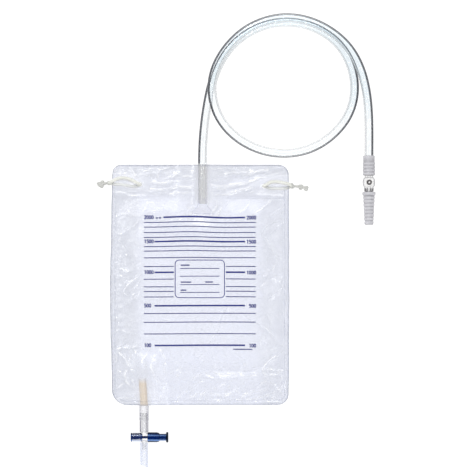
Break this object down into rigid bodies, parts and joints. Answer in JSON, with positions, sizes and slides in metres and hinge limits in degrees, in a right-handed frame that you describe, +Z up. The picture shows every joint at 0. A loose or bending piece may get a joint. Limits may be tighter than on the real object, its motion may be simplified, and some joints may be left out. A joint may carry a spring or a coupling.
{
  "type": "urine drainage bag",
  "caption": "Flat drainage bag of welded clear film with a printed volume scale, corded hanging holes, a looped inlet hose with a sampling connector, and a push-pull drain valve below.",
  "frame": {"origin": "the middle of the bag and its outlet seen from above, on the surface that the bag lies on", "axes": "+Y from the drain spout to the bag's header, +X to the right as the scale is read, +Z up from the surface, out of the printed front film"},
  "size_m": [0.3127, 0.509, 0.0205],
  "materials": {
    "film": "translucent, slightly lavender, crinkled",
    "hose": "clear, glossy",
    "valve_film": "translucent film",
    "yellowed_tube": "translucent beige",
    "clear_plastic": "clear moulding",
    "blue_plastic": "glossy deep blue",
    "frosted_plastic": "frosted, translucent",
    "white_plastic": "white moulding",
    "grey_rubber": "dark grey, matt",
    "cream_cord": "braided, matt",
    "blue_ink": "printed ink"
  },
  "bodies": {
    "bag": {"front_film": "film", "back_film": "film", "inlet_hose": "hose", "non_return_valve": "valve_film", "outlet_stub": "yellowed_tube", "outlet_sleeve": "clear_plastic", "valve_body": "clear_plastic", "valve_cap": "blue_plastic", "drain_spout": "clear_plastic", "hanging_cord_left": "cream_cord", "hanging_cord_right": "cream_cord", "connector_sleeve": "frosted_plastic", "connector_body": "clear_plastic", "sample_port_ring": "white_plastic", "sample_port_septum": "grey_rubber", "catheter_adapter": "frosted_plastic", "major_line_2000": "blue_ink", "major_line_1500": "blue_ink", "major_line_1000_left": "blue_ink", "major_line_1000_right": "blue_ink", "major_line_500": "blue_ink", "major_line_100": "blue_ink", "minor_line_1": "blue_ink", "minor_line_2": "blue_ink", "minor_line_3": "blue_ink", "minor_line_4": "blue_ink", "minor_line_5": "blue_ink", "minor_line_6": "blue_ink", "minor_line_7": "blue_ink", "minor_line_8_left": "blue_ink", "minor_line_8_right": "blue_ink", "minor_line_9_left": "blue_ink", "minor_line_9_right": "blue_ink", "minor_line_10_left": "blue_ink", "minor_line_10_right": "blue_ink", "minor_line_11_left": "blue_ink", "minor_line_11_right": "blue_ink", "minor_line_12_left": "blue_ink", "minor_line_12_right": "blue_ink", "minor_line_13": "blue_ink", "minor_line_14": "blue_ink", "minor_line_15": "blue_ink", "panel_frame": "blue_ink", "writing_line_1": "blue_ink", "writing_line_2": "blue_ink", "writing_line_3": "blue_ink", "writing_line_4": "blue_ink"},
    "spool": {"valve_spool": "blue_plastic"}
  },
  "joints": [
    {"name": "drain_valve_slide", "type": "slide", "parent": "bag", "child": "spool", "axis": [1, 0, 0], "range_m": [-0.0072, 0]}
  ]
}
